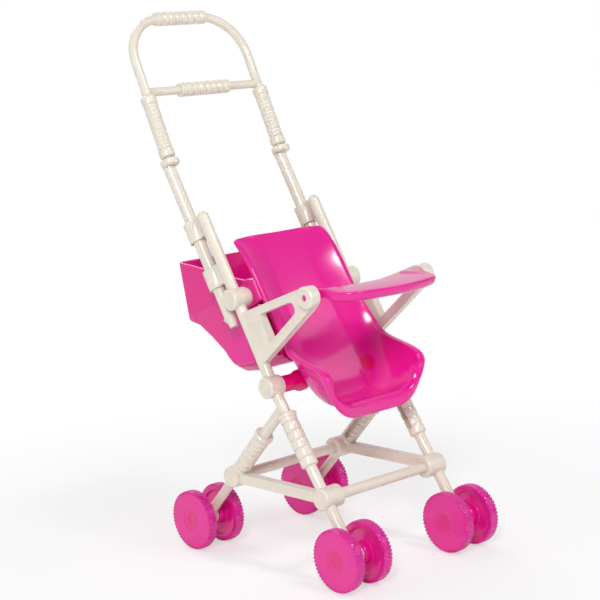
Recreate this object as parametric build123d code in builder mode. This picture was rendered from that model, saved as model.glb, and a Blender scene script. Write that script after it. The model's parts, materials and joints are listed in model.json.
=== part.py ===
from build123d import *
import os
from math import atan2, cos, degrees, radians, sin, tan

# A doll's stroller: two moulded side frames joined by cross bars, a sliding push handle,
# a scoop seat with a swinging tray, a basket behind it, and four pairs of twin wheels.
# +X is the stroller's left, -Y its front, +Z up. The origin is on the ground, under the
# middle of the overall length. Sizes are in millimetres.

# ---- Wheels and axles
wheel_diameter = 22.5
wheel_width = 4.0
wheel_side_clearance = 0.3
wheel_edge_radius = 0.9
wheel_rim_wall = 2.3
wheel_boss_diameter = 7.6
wheel_boss_rise = 1.8
wheel_dish_depth = 1.3
wheel_ring_diameter = 7.5
wheel_ring_depth = 0.5
wheel_dimple_diameter = 2.4
axle_diameter = 2.4
axle_seat_depth = 2.6
wheel_bore_clearance = 0.02
running_clearance = 0.06
cut_past = 1.0
right_angle = 90.0

# ---- Side frames, seen from the side: back from the front axle, up from the ground
leg_spacing = 55.0
wheelbase = 78.5
lower_hub_setback = 36.5
lower_hub_height = 66.4
lower_hub_diameter = 7.8
upper_hub_diameter = 7.8
hub_gap = 34.7
bar_lean = 29.3
bar_diameter = 4.3
bar_length = 67.8
front_leg_diameter = 4.1
rear_leg_diameter = 3.6
rear_leg_upper_diameter = 3.95
rear_leg_drop = 8.6
rail_height = 29.6
rail_depth = 3.8
rail_thickness = 3.4
corner_block_diameter = 8.0
leg_eye_diameter = 6.4
leg_eye_width = 5.0

# How far the hubs and blocks reach outwards and inwards from the middle of a side frame
hub_outer_reach = 4.0
lower_hub_inner_reach = 3.0
upper_hub_inner_reach = 3.9
upper_hub_disc_diameter = 6.8
upper_hub_disc_height = 0.7
block_outer_reach = 2.9
block_inner_reach = 6.0
disc_chamfer = 0.5
disc_recess = 0.25
disc_rim = 0.7

# ---- Ribbed sleeves
front_sleeve_start = 11.0
front_sleeve_length = 20.6
front_sleeve_diameter = 6.2
front_sleeve_bands = 6
rear_sleeve_start = 24.2
rear_sleeve_length = 22.0
rear_sleeve_diameter = 6.2
rear_sleeve_bands = 9
sleeve_groove = 0.8
sleeve_groove_depth = 0.45
flange_extra = 0.5
flange_length = 1.8
core_slot_width = 2.2
core_slot_margin = 2.6

# ---- Tray brackets, measured from the lower hub: forwards of the bar and up along it
bracket_reach = 36.1
bracket_rise = 18.8
bracket_top_root = 28.9
bracket_low_root = 8.3
bracket_top_arm = 3.0
bracket_low_arm = 3.5
bracket_web = 9.6
bracket_thickness = 3.1
bracket_opening_end = 8.0
bracket_corner_radius = 2.2
bracket_sharp_radius = 0.5
tray_boss_diameter = 7.9
tray_boss_outer_reach = 3.3
tray_boss_inner_reach = 1.5
tray_pin_diameter = 2.2

# ---- Clips that guide the handle's rods, placed along the bar
rod_offset = 7.2
clip_length = 7.6
clip_diameter = 6.9
clip_web = 3.4
lower_clip_place = 45.8
upper_clip_place = 65.0
rod_clearance = 0.1

# ---- Cross bars
cross_bar_diameter = 3.9
cross_bar_seat = 3.5
plug_clearance = 0.05

# ---- Push handle, placed along the bar from the lower hub
rod_diameter = 4.6
rod_tip_place = 26.7
rod_tip_taper = 4.0
rod_tip_diameter = 3.0
snap_lug_place = 31.0
snap_lug_height = 1.0
snap_lug_length = 3.0
collar_place = 93.3
collar_offset = 5.7
collar_diameter = 7.2
collar_length = 2.5
handle_lean = 24.0
handle_sleeve_diameter = 5.9
handle_sleeve_bands = 12
handle_sleeve_end = 3.4
handle_sleeve_waist = 0.4
handle_groove_depth = 0.16
handle_neck = 2.0
handle_tube_diameter = 3.5
hand_bar_diameter = 3.3
handle_bar_rise = 28.3
handle_top_rise = 57.8
handle_corner_radius = 17.3
grip_length = 24.0
grip_diameter = 5.3
grip_bands = 8

# ---- Seat
seat_wall = 1.5
seat_width = 44.0
seat_back_gap = 3.05
seat_panel_width = 26.0
seat_wing_depth = 4.6
seat_back_top = 56.3
seat_back_lap = 4.8
seat_corner_radius = 6.0
pan_floor_height = 58.4
pan_floor_width = 34.0
pan_floor_front = 13.5
pan_rim_front = 7.5
pan_rim_width = 48.6
pan_rim_height = 80.5
rim_front_drop = 5.5
rim_corner_drop = 10.2
rim_front_setback = 7.5
rim_step = 2.5
pan_corner_radius = 5.0
pan_mouth_radius = 6.0
seat_stub_diameter = 6.0
seat_stub_root = 16.5
seat_stub_root_width = 4.0
seat_peg_diameter = 3.2
seat_peg_length = 2.6
lip_drop = 4.0
lip_thickness = 1.6
hub_side_gap = 0.2

# ---- Tray
tray_width = 48.8
tray_thickness = 3.4
tray_drop = 1.7
tray_wall = 1.6
tray_pin_setback = 0.4
tray_back_edge = 1.0
tray_end_back = 3.6
tray_front_edge = 18.1
tray_end_front = 13.0
tray_corner_radius = 5.0
tray_edge_radius = 1.2
tray_ear_radius = 1.5

# ---- Basket
basket_wall = 1.3
basket_width = 40.0
basket_rim_back = 93.0
basket_rim_height = 106.5
basket_front_gap = 1.5
basket_front_top = 40.0
basket_front_foot = 8.8
basket_belly = (61.0, 68.6)
basket_heel = (90.0, 84.0)
basket_foot_radius = 3.0
basket_belly_radius = 8.0
basket_heel_radius = 3.0
side_plate_tail = 7.0
side_plate_radius = 1.5
side_plate_thickness = 1.0
ear_thickness = 2.3
ear_half_width = 4.2
ear_foot = 26.0
ear_top = 43.0
basket_peg_diameter = 4.0
basket_peg_length = 3.0

# ---- Worked out from the sizes above
wheel_radius = wheel_diameter / 2
leg_offset = leg_spacing / 2
wheel_inner_face = leg_eye_width / 2 + wheel_side_clearance + wheel_boss_rise
front_axle = (0, wheel_radius)
rear_axle = (wheelbase, wheel_radius)
lower_hub = (lower_hub_setback, lower_hub_height)


def up_line(start, lean, distance, behind=0):
    # A side-view point this far up a line that leans back, and this far behind the line
    tilt = radians(lean)
    return (
        start[0] + distance * sin(tilt) + behind * cos(tilt),
        start[1] + distance * cos(tilt) - behind * sin(tilt),
    )


front_leg_lean = degrees(atan2(lower_hub[0] - front_axle[0], lower_hub[1] - front_axle[1]))
rear_leg_top = up_line(lower_hub, front_leg_lean, -rear_leg_drop)
rear_leg_lean = degrees(atan2(rear_leg_top[0] - rear_axle[0], rear_leg_top[1] - rear_axle[1]))
rear_sleeve_drop = rear_sleeve_start - rear_leg_drop
rear_upper_end = up_line(rear_leg_top, rear_leg_lean, -rear_sleeve_drop - flange_length)
upper_hub = up_line(lower_hub, bar_lean, hub_gap)
tray_pivot = up_line(lower_hub, bar_lean, bracket_rise, -bracket_reach)
collar = up_line(lower_hub, bar_lean, collar_place, collar_offset)
handle_bar = up_line(collar, handle_lean, handle_bar_rise)
handle_top = up_line(collar, handle_lean, handle_top_rise)
rail_rise = rail_height - wheel_radius
front_block = up_line(front_axle, front_leg_lean, rail_rise / cos(radians(front_leg_lean)))
rear_block = up_line(rear_axle, rear_leg_lean, rail_rise / cos(radians(rear_leg_lean)))

# The origin is under the middle of the overall length
length_centre = (handle_top[0] + grip_diameter / 2 + front_axle[0] - wheel_radius) / 2


def place(point, across=0):
    # A side-view point as a point in space
    return Vector(across, point[0] - length_centre, point[1])


def direction(lean):
    return Vector(0, sin(radians(lean)), cos(radians(lean)))


# Side-view planes: the first measures back and up, the second behind and up along the bar
side_view = Plane(place((0, 0)), x_dir=(0, 1, 0), z_dir=(1, 0, 0))
bar_view = Plane(place(lower_hub), x_dir=direction(bar_lean + right_angle), z_dir=(1, 0, 0))


def add_turning(start, axis, profile, mode=Mode.ADD):
    # A turned shape from (distance along the axis, radius) points, closed along the axis
    axis = Vector(axis)
    sideways = Vector(0, 1, 0) if abs(axis.X) > 0.5 else Vector(1, 0, 0)
    with BuildSketch(Plane(start, x_dir=axis, z_dir=axis.cross(sideways))) as section:
        with BuildLine():
            Polyline(*profile, close=True)
        make_face()
    revolve(section.sketch, axis=Axis(start, axis), mode=mode)


def add_rod(start, end, radius, mode=Mode.ADD):
    length = (end - start).length
    outline = [(0, 0), (0, radius), (length, radius), (length, 0)]
    add_turning(start, (end - start) / length, outline, mode)


def add_across(side, point, radius, inner, outer, mode=Mode.ADD):
    # A plain round from side to side, between two distances from the middle plane
    add_rod(place(point, side * inner), place(point, side * outer), radius, mode)


def add_disc_end(side, point, radius, inner, outer):
    # A round boss with a chamfered outer face that is slightly dished inside its rim
    depth = outer - inner
    profile = [
        (0, 0),
        (0, radius - disc_chamfer),
        (disc_chamfer, radius),
        (depth - disc_chamfer, radius),
        (depth, radius - disc_chamfer),
        (depth, radius - disc_chamfer - disc_rim),
        (depth - disc_recess, radius - disc_chamfer - disc_rim - disc_recess),
        (depth - disc_recess, 0),
    ]
    add_turning(place(point, side * inner), (side, 0, 0), profile)


def banded(length, radius, bands, groove, depth):
    # The outline of a round with equal bands parted by shallow grooves
    pitch = length / bands
    outline = [(0, 0), (0, radius - depth), (groove / 2, radius)]
    for band in range(1, bands):
        outline += [
            (band * pitch - groove / 2, radius),
            (band * pitch, radius - depth),
            (band * pitch + groove / 2, radius),
        ]
    return outline + [(length - groove / 2, radius), (length, radius - depth), (length, 0)]


def ring(length, radius):
    # The outline of a short round with both rims chamfered
    return [
        (0, 0),
        (0, radius - disc_chamfer),
        (disc_chamfer, radius),
        (length - disc_chamfer, radius),
        (length, radius - disc_chamfer),
        (length, 0),
    ]


def add_leg_sleeve(side, hub_point, lean, start, length, diameter, bands):
    # A banded sleeve down a leg, with a flange above it and a core slot in its inner side
    radius = diameter / 2
    down = direction(lean) * -1
    top = place(hub_point, side * leg_offset) + down * start
    add_turning(top, down, banded(length, radius, bands, sleeve_groove, sleeve_groove_depth))
    add_turning(top, down, ring(flange_length, radius + flange_extra))
    slot_plane = Plane(top + down * (length / 2), x_dir=down, z_dir=(-side, 0, 0))
    with BuildSketch(slot_plane.offset(front_leg_diameter / 4)) as slot:
        SlotOverall(length - 2 * core_slot_margin, core_slot_width)
    extrude(slot.sketch, amount=radius, mode=Mode.SUBTRACT)


def bracket_edge(reach, root, tip):
    # How far up the bar an arm's outer edge is, at this reach in front of the bar
    return root + (tip - root) * reach / bracket_reach


def under_top_arm(reach):
    top_tip = bracket_rise + tray_boss_diameter / 2
    return bracket_edge(reach, bracket_top_root, top_tip) - bracket_top_arm


def over_low_arm(reach):
    low_tip = bracket_rise - tray_boss_diameter / 2
    return bracket_edge(reach, bracket_low_root, low_tip) + bracket_low_arm


def make_side_frame(side):
    middle = side * leg_offset
    boss_radius = tray_boss_diameter / 2
    top_tip = bracket_rise + boss_radius
    low_tip = bracket_rise - boss_radius
    opening_reach = bracket_reach - bracket_opening_end
    clip_places = (lower_clip_place, upper_clip_place)
    with BuildPart() as frame:
        # Main bar with a round top
        bar_top = place(up_line(lower_hub, bar_lean, bar_length), middle)
        add_rod(place(lower_hub, middle), bar_top, bar_diameter / 2)
        with Locations(bar_top):
            Sphere(bar_diameter / 2)

        # Bracket plate in front of the bar, with its opening
        with BuildSketch(bar_view.offset(middle)) as plate:
            with BuildLine():
                Polyline(
                    (0, bracket_top_root),
                    (-bracket_reach, top_tip),
                    (-bracket_reach, low_tip),
                    (-bar_diameter / 2, bracket_edge(bar_diameter / 2, bracket_low_root, low_tip)),
                    (0, bracket_low_root),
                    close=True,
                )
            make_face()
        extrude(plate.sketch, amount=bracket_thickness / 2, both=True)
        with BuildSketch(bar_view.offset(middle)) as opening:
            with BuildLine():
                Polyline(
                    (-bracket_web, under_top_arm(bracket_web)),
                    (-opening_reach, under_top_arm(opening_reach)),
                    (-opening_reach, over_low_arm(opening_reach)),
                    (-bracket_web, over_low_arm(bracket_web)),
                    close=True,
                )
            make_face()
            fillet(opening.vertices().sort_by(Axis.X)[:2], radius=bracket_corner_radius)
            fillet(opening.vertices().sort_by(Axis.X)[-2:], radius=bracket_sharp_radius)
        extrude(opening.sketch, amount=bracket_thickness, both=True, mode=Mode.SUBTRACT)
        boss_outer = leg_offset + tray_boss_outer_reach
        add_disc_end(side, tray_pivot, boss_radius, leg_offset - tray_boss_inner_reach, boss_outer)

        # Clips behind the bar
        for clip_place in clip_places:
            foot = place(up_line(lower_hub, bar_lean, clip_place - clip_length / 2, rod_offset), middle)
            head = place(up_line(lower_hub, bar_lean, clip_place + clip_length / 2, rod_offset), middle)
            add_rod(foot, head, clip_diameter / 2)
            with BuildSketch(bar_view.offset(middle)) as web:
                with Locations((rod_offset / 2, clip_place)):
                    Rectangle(rod_offset, clip_length)
            extrude(web.sketch, amount=clip_web / 2, both=True)

        # Front and rear legs with their sleeves
        add_rod(place(lower_hub, middle), place(front_axle, middle), front_leg_diameter / 2)
        add_rod(place(rear_leg_top, middle), place(rear_axle, middle), rear_leg_diameter / 2)
        add_rod(place(rear_leg_top, middle), place(rear_upper_end, middle), rear_leg_upper_diameter / 2)
        add_leg_sleeve(
            side, lower_hub, front_leg_lean, front_sleeve_start, front_sleeve_length,
            front_sleeve_diameter, front_sleeve_bands,
        )
        add_leg_sleeve(
            side, rear_leg_top, rear_leg_lean, rear_sleeve_drop, rear_sleeve_length,
            rear_sleeve_diameter, rear_sleeve_bands,
        )

        # Hubs, corner blocks and the rail between the blocks
        hub_outer = leg_offset + hub_outer_reach
        add_disc_end(side, lower_hub, lower_hub_diameter / 2, leg_offset - lower_hub_inner_reach, hub_outer)
        add_disc_end(side, upper_hub, upper_hub_diameter / 2, leg_offset - upper_hub_inner_reach, hub_outer)
        upper_hub_face = leg_offset - upper_hub_inner_reach
        add_across(
            side, upper_hub, upper_hub_disc_diameter / 2, upper_hub_face - upper_hub_disc_height,
            leg_offset,
        )
        with BuildSketch(side_view.offset(middle)) as rail:
            with Locations(((front_block[0] + rear_block[0]) / 2, rail_height)):
                Rectangle(rear_block[0] - front_block[0], rail_depth)
        extrude(rail.sketch, amount=rail_thickness / 2, both=True)
        for block in (front_block, rear_block):
            block_inner = leg_offset - block_inner_reach
            block_outer = leg_offset + block_outer_reach
            add_disc_end(side, block, corner_block_diameter / 2, block_inner, block_outer)
            socket_radius = cross_bar_diameter / 2 + plug_clearance
            socket_end = block_inner + cross_bar_seat + plug_clearance
            add_across(side, block, socket_radius, block_inner - cut_past, socket_end, Mode.SUBTRACT)

        # Eyes for the axles
        for axle_point in (front_axle, rear_axle):
            eye_inner = leg_offset - leg_eye_width / 2
            eye_outer = leg_offset + leg_eye_width / 2
            add_across(side, axle_point, leg_eye_diameter / 2, eye_inner, eye_outer)
            add_across(
                side, axle_point, axle_diameter / 2 + running_clearance,
                eye_inner - cut_past, eye_outer + cut_past, Mode.SUBTRACT,
            )

        # Holes for the handle's rods, the tray's pin and the pegs of the seat and the basket
        rod_low = place(up_line(lower_hub, bar_lean, 0, rod_offset), middle)
        rod_high = place(up_line(lower_hub, bar_lean, collar_place, rod_offset), middle)
        add_rod(rod_low, rod_high, rod_diameter / 2 + rod_clearance, Mode.SUBTRACT)
        add_across(
            side, tray_pivot, tray_pin_diameter / 2 + running_clearance,
            leg_offset - tray_boss_diameter, leg_offset + tray_boss_diameter, Mode.SUBTRACT,
        )
        lower_hub_face = leg_offset - lower_hub_inner_reach
        add_across(
            side, lower_hub, seat_peg_diameter / 2 + plug_clearance,
            lower_hub_face - cut_past, lower_hub_face + seat_peg_length, Mode.SUBTRACT,
        )
        upper_hub_mouth = upper_hub_face - upper_hub_disc_height - cut_past
        add_across(
            side, upper_hub, basket_peg_diameter / 2 + plug_clearance,
            upper_hub_mouth, upper_hub_face + basket_peg_length, Mode.SUBTRACT,
        )
    return frame


def make_cross_bar(block):
    # The bar's ends stop short of the sockets' floors
    reach = leg_offset - block_inner_reach + cross_bar_seat
    with BuildPart() as cross_bar:
        add_across(1, block, cross_bar_diameter / 2, -reach, reach)
    return cross_bar


def add_handle_leg(side):
    # One sliding rod with its snap lug, and the collar and banded sleeve above it
    middle = side * leg_offset
    rod_axis = direction(bar_lean)
    rod_length = collar_place - rod_tip_place
    tip = place(up_line(lower_hub, bar_lean, rod_tip_place, rod_offset), middle)
    rod_radius = rod_diameter / 2
    rod = [
        (0, 0),
        (0, rod_tip_diameter / 2),
        (rod_tip_taper, rod_radius),
        (rod_length, rod_radius),
        (rod_length, 0),
    ]
    add_turning(tip, rod_axis, rod)
    with BuildSketch(bar_view.offset(middle)) as lug:
        with BuildLine():
            back = rod_offset + rod_radius
            Polyline(
                (rod_offset, snap_lug_place - snap_lug_length),
                (back - snap_lug_height, snap_lug_place - snap_lug_length),
                (back + snap_lug_height, snap_lug_place),
                (rod_offset, snap_lug_place),
                close=True,
            )
        make_face()
    extrude(lug.sketch, amount=snap_lug_height, both=True)

    foot = place(collar, middle)
    handle_axis = direction(handle_lean)
    collar_foot = foot - handle_axis * (collar_length / 2)
    add_turning(collar_foot, handle_axis, ring(collar_length, collar_diameter / 2))
    sleeve_length = handle_bar_rise - handle_tube_diameter / 2 - handle_neck
    body_length = sleeve_length - 2 * handle_sleeve_end
    body_radius = (handle_sleeve_diameter - handle_sleeve_waist) / 2
    sleeve_foot = foot + handle_axis * handle_neck
    sleeve_top = sleeve_foot + handle_axis * (sleeve_length - handle_sleeve_end)
    body = banded(body_length, body_radius, handle_sleeve_bands, sleeve_groove, handle_groove_depth)
    for end_foot in (sleeve_foot, sleeve_top):
        add_turning(end_foot, handle_axis, ring(handle_sleeve_end, handle_sleeve_diameter / 2))
    add_turning(sleeve_foot + handle_axis * handle_sleeve_end, handle_axis, body)


def add_grip(point):
    grip = banded(grip_length, grip_diameter / 2, grip_bands, sleeve_groove, sleeve_groove_depth)
    add_turning(place(point, -grip_length / 2), (1, 0, 0), grip)


def make_handle():
    handle_view = Plane(
        place(collar), x_dir=(1, 0, 0), z_dir=Vector(1, 0, 0).cross(direction(handle_lean))
    )
    corner_rise = handle_top_rise - handle_corner_radius
    corner_reach = leg_offset - handle_corner_radius
    with BuildPart() as handle:
        for side in (1, -1):
            add_handle_leg(side)
        # The looped tube, which starts inside the collars
        with BuildLine(handle_view) as loop:
            Line((-leg_offset, 0), (-leg_offset, corner_rise))
            RadiusArc((-leg_offset, corner_rise), (-corner_reach, handle_top_rise), handle_corner_radius)
            Line((-corner_reach, handle_top_rise), (corner_reach, handle_top_rise))
            RadiusArc((corner_reach, handle_top_rise), (leg_offset, corner_rise), handle_corner_radius)
            Line((leg_offset, corner_rise), (leg_offset, 0))
        with BuildSketch(Plane(loop.wire() @ 0, z_dir=loop.wire() % 0)) as section:
            Circle(handle_tube_diameter / 2)
        sweep(section.sketch, path=loop.wire())
        # The hand bar between the legs, and a grip on each bar
        add_across(1, handle_bar, hand_bar_diameter / 2, -leg_offset, leg_offset)
        add_grip(handle_bar)
        add_grip(handle_top)
    return handle


def back_line(height, gap):
    # How far back a plane parallel to the bars, this far in front of them, is at a height
    tilt = radians(bar_lean)
    return lower_hub[0] + (height - lower_hub[1]) * tan(tilt) - gap / cos(tilt)


def rounded_pan(height, half_width, front, back, radius):
    # One level of the seat's pan, as a rounded rectangle
    with BuildSketch(Plane(place(((front + back) / 2, height)))) as level:
        RectangleRounded(2 * half_width, back - front, radius)
    return level.sketch


def make_seat():
    half_width = seat_width / 2
    half_panel = seat_panel_width / 2
    half_floor = pan_floor_width / 2
    half_rim = pan_rim_width / 2
    # The back's foot laps this far below the pan's rim, measured at its rear face
    foot_rise = pan_rim_height - seat_back_lap - lower_hub_height
    back_start = foot_rise / cos(radians(bar_lean)) - seat_back_gap * tan(radians(bar_lean))
    back_foot = place(up_line(lower_hub, bar_lean, back_start))
    back_length = seat_back_top - back_start
    wing_front = seat_back_gap + seat_wing_depth
    panel_front = seat_back_gap + seat_wall
    cavity_floor = pan_floor_height + seat_wall
    with BuildPart() as seat:
        # Back panel with its two wings turned forwards, and rounded at its top corners
        with BuildSketch(Plane(back_foot, x_dir=(1, 0, 0), z_dir=direction(bar_lean))) as back:
            with BuildLine():
                Polyline(
                    (-half_width, -wing_front),
                    (-half_panel, -seat_back_gap),
                    (half_panel, -seat_back_gap),
                    (half_width, -wing_front),
                    (half_width, -wing_front - seat_wall),
                    (half_panel, -panel_front),
                    (-half_panel, -panel_front),
                    (-half_width, -wing_front - seat_wall),
                    close=True,
                )
            make_face()
        extrude(back.sketch, amount=back_length)
        back_face = Plane(back_foot, x_dir=(1, 0, 0), z_dir=direction(bar_lean - right_angle))
        with BuildSketch(back_face) as outline:
            with Locations((0, back_length / 2)):
                Rectangle(seat_width, back_length)
            fillet(outline.vertices().sort_by(Axis.Y)[-2:], radius=seat_corner_radius)
        extrude(outline.sketch, amount=seat_width, both=True, mode=Mode.INTERSECT)

        # Tapered pan, its cavity and its open front
        rim = rounded_pan(
            pan_rim_height, half_rim, pan_rim_front, back_line(pan_rim_height, seat_back_gap),
            pan_corner_radius,
        )
        floor = rounded_pan(
            pan_floor_height, half_floor, pan_floor_front, back_line(pan_floor_height, seat_back_gap),
            pan_corner_radius,
        )
        loft([floor, rim], ruled=True)
        cavity_rim = rounded_pan(
            pan_rim_height, half_rim - seat_wall, pan_rim_front + seat_wall,
            back_line(pan_rim_height, panel_front), pan_corner_radius - seat_wall,
        )
        cavity_foot = rounded_pan(
            cavity_floor, half_floor - seat_wall, pan_floor_front + seat_wall,
            back_line(cavity_floor, panel_front), pan_corner_radius - seat_wall,
        )
        loft([cavity_foot, cavity_rim], ruled=True, mode=Mode.SUBTRACT)
        mouth_back = place((pan_floor_front + pan_corner_radius, 0))
        with BuildSketch(Plane(mouth_back, x_dir=(1, 0, 0), z_dir=(0, -1, 0))) as mouth:
            with BuildLine():
                Polyline(
                    (-half_rim + seat_wall, pan_rim_height + seat_wall),
                    (-half_floor + seat_wall, cavity_floor),
                    (half_floor - seat_wall, cavity_floor),
                    (half_rim - seat_wall, pan_rim_height + seat_wall),
                    close=True,
                )
            make_face()
            fillet(mouth.vertices().sort_by(Axis.Y)[:2], radius=pan_mouth_radius)
        extrude(mouth.sketch, amount=pan_floor_front + pan_corner_radius, mode=Mode.SUBTRACT)

        # The pan's side rims dip to the front
        with BuildSketch(side_view) as above_rim:
            with BuildLine():
                Polyline(
                    (back_line(pan_rim_height, wing_front + seat_wall), pan_rim_height + seat_wall),
                    (back_line(pan_rim_height, wing_front + seat_wall), pan_rim_height - rim_step),
                    (pan_rim_front + rim_front_setback, pan_rim_height - rim_front_drop),
                    (pan_rim_front, pan_rim_height - rim_corner_drop),
                    (0, pan_rim_height - rim_corner_drop),
                    (0, pan_rim_height + seat_wall),
                    close=True,
                )
            make_face()
        extrude(above_rim.sketch, amount=pan_rim_width, both=True, mode=Mode.SUBTRACT)

        # Turned-down lip under the front of the floor
        with BuildSketch(side_view) as lip:
            with Locations((pan_floor_front, pan_floor_height + seat_wall)):
                Rectangle(lip_thickness, lip_drop + seat_wall, align=(Align.MIN, Align.MAX))
        extrude(lip.sketch, amount=half_floor - pan_corner_radius / 2, both=True)

        # Stubs and pegs that carry the seat in the lower hubs
        hub_face = leg_offset - lower_hub_inner_reach
        for side in (1, -1):
            with BuildSketch(bar_view.offset(side * seat_stub_root)) as root:
                Circle(seat_stub_diameter / 2)
                with Locations((-panel_front / 2, 0)):
                    Rectangle(panel_front, seat_stub_diameter)
            extrude(root.sketch, amount=-side * seat_stub_root_width)
            add_across(side, lower_hub, seat_stub_diameter / 2, seat_stub_root, hub_face - hub_side_gap)
            peg_end = hub_face + seat_peg_length - plug_clearance
            add_across(side, lower_hub, seat_peg_diameter / 2, seat_stub_root, peg_end)
    return seat


def make_tray():
    half_width = tray_width / 2
    pivot = place(tray_pivot)
    with BuildPart() as tray:
        with BuildSketch(Plane(pivot - Vector(0, 0, tray_drop))) as plate:
            with BuildLine():
                ThreePointArc(
                    (-half_width, tray_end_back), (0, -tray_back_edge), (half_width, tray_end_back)
                )
                Line((half_width, tray_end_back), (half_width, -tray_end_front))
                ThreePointArc(
                    (half_width, -tray_end_front), (0, -tray_front_edge), (-half_width, -tray_end_front)
                )
                Line((-half_width, -tray_end_front), (-half_width, tray_end_back))
            make_face()
            fillet(plate.vertices().sort_by(Axis.Y)[:2], radius=tray_corner_radius)
            fillet(plate.vertices().sort_by(Axis.Y)[-2:], radius=tray_ear_radius)
        extrude(plate.sketch, amount=tray_thickness)
        fillet(tray.edges().group_by(Axis.Z)[-1], radius=tray_edge_radius)
        with BuildSketch(Plane(pivot - Vector(0, 0, tray_drop))) as underside:
            add(plate.sketch)
            offset(amount=-tray_wall)
        extrude(underside.sketch, amount=tray_thickness - tray_wall, mode=Mode.SUBTRACT)
        pin_reach = leg_offset + tray_boss_outer_reach - tray_pin_setback
        for side in (1, -1):
            add_across(side, tray_pivot, tray_pin_diameter / 2, half_width - tray_wall / 2, pin_reach)
    return tray


def make_basket():
    front_foot = up_line(lower_hub, bar_lean, basket_front_foot, -basket_front_gap)
    front_top = up_line(lower_hub, bar_lean, basket_front_top, -basket_front_gap)
    half_width = basket_width / 2
    with BuildPart() as basket:
        # Open bin
        with BuildSketch(side_view) as outline:
            with BuildLine():
                FilletPolyline(
                    front_top, front_foot, basket_belly, basket_heel, (basket_rim_back, basket_rim_height),
                    radius=[basket_foot_radius, basket_belly_radius, basket_heel_radius],
                )
                Line((basket_rim_back, basket_rim_height), front_top)
            make_face()
        extrude(outline.sketch, amount=half_width, both=True)
        offset(amount=-basket_wall, openings=basket.faces().sort_by(Axis.Z)[-1])

        for side in (1, -1):
            # Raised side plates, and ears whose pegs plug into the upper hubs
            with BuildSketch(side_view.offset(side * half_width)) as side_plate:
                with BuildLine():
                    FilletPolyline(
                        front_foot,
                        basket_belly,
                        (basket_belly[0] + side_plate_tail, basket_belly[1] + side_plate_tail),
                        up_line(lower_hub, bar_lean, basket_front_top - ear_half_width, ear_half_width),
                        up_line(lower_hub, bar_lean, basket_front_top - ear_half_width, -basket_front_gap),
                        radius=side_plate_radius,
                        close=True,
                    )
                make_face()
            extrude(side_plate.sketch, amount=side * side_plate_thickness)
            with BuildSketch(bar_view.offset(side * (half_width - basket_wall))) as ear:
                with Locations((0, (ear_foot + ear_top) / 2)):
                    SlotOverall(ear_top - ear_foot + 2 * ear_half_width, 2 * ear_half_width, rotation=90)
            extrude(ear.sketch, amount=side * (ear_thickness + basket_wall))
            hub_face = leg_offset - upper_hub_inner_reach
            add_across(
                side, upper_hub, basket_peg_diameter / 2, half_width,
                hub_face + basket_peg_length - plug_clearance,
            )
    return basket


def make_wheel(side, axle_point, facing):
    # Turned about its axle from its inner face; facing is +1 for the wheel further out
    rim_inner = wheel_radius - wheel_rim_wall
    boss_radius = wheel_boss_diameter / 2
    bore_radius = axle_diameter / 2 + wheel_bore_clearance
    ring_radius = wheel_ring_diameter / 2
    start = place(axle_point, side * (leg_offset + facing * wheel_inner_face))
    profile = [
        (axle_seat_depth + plug_clearance, 0),
        (axle_seat_depth + plug_clearance, bore_radius),
        (-wheel_boss_rise, bore_radius),
        (-wheel_boss_rise, boss_radius),
        (wheel_dish_depth, boss_radius),
        (wheel_dish_depth, rim_inner),
        (0, rim_inner),
        (0, wheel_radius - wheel_edge_radius),
        (wheel_edge_radius, wheel_radius),
        (wheel_width - wheel_edge_radius, wheel_radius),
        (wheel_width, wheel_radius - 2 * wheel_edge_radius),
        (wheel_width, ring_radius + wheel_ring_depth),
        (wheel_width - wheel_ring_depth, ring_radius),
        (wheel_width, ring_radius - wheel_ring_depth),
        (wheel_width, wheel_dimple_diameter / 2),
        (wheel_width - wheel_ring_depth, 0),
    ]
    with BuildPart() as wheel:
        add_turning(start, (side * facing, 0, 0), profile)
    return wheel


def make_axle(side, axle_point):
    reach = wheel_inner_face + axle_seat_depth
    with BuildPart() as axle:
        add_across(side, axle_point, axle_diameter / 2, leg_offset - reach, leg_offset + reach)
    return axle


def save(piece, name):
    piece.part.label = name
    export_step(piece.part, f"parts/{name}.step")


os.makedirs("parts", exist_ok=True)
for side, side_name in ((1, "left"), (-1, "right")):
    save(make_side_frame(side), f"{side_name}_side_frame")
    for axle_point, end_name in ((front_axle, "front"), (rear_axle, "rear")):
        save(make_axle(side, axle_point), f"{side_name}_{end_name}_axle")
        save(make_wheel(side, axle_point, 1), f"{side_name}_{end_name}_outer_wheel")
        save(make_wheel(side, axle_point, -1), f"{side_name}_{end_name}_inner_wheel")
save(make_cross_bar(front_block), "front_cross_bar")
save(make_cross_bar(rear_block), "rear_cross_bar")
save(make_handle(), "handle")
save(make_seat(), "seat")
save(make_tray(), "tray")
save(make_basket(), "basket")
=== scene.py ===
import bmesh
import bpy
import json
from math import cos, pi, radians, sin
from mathutils import Matrix, Vector


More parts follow.
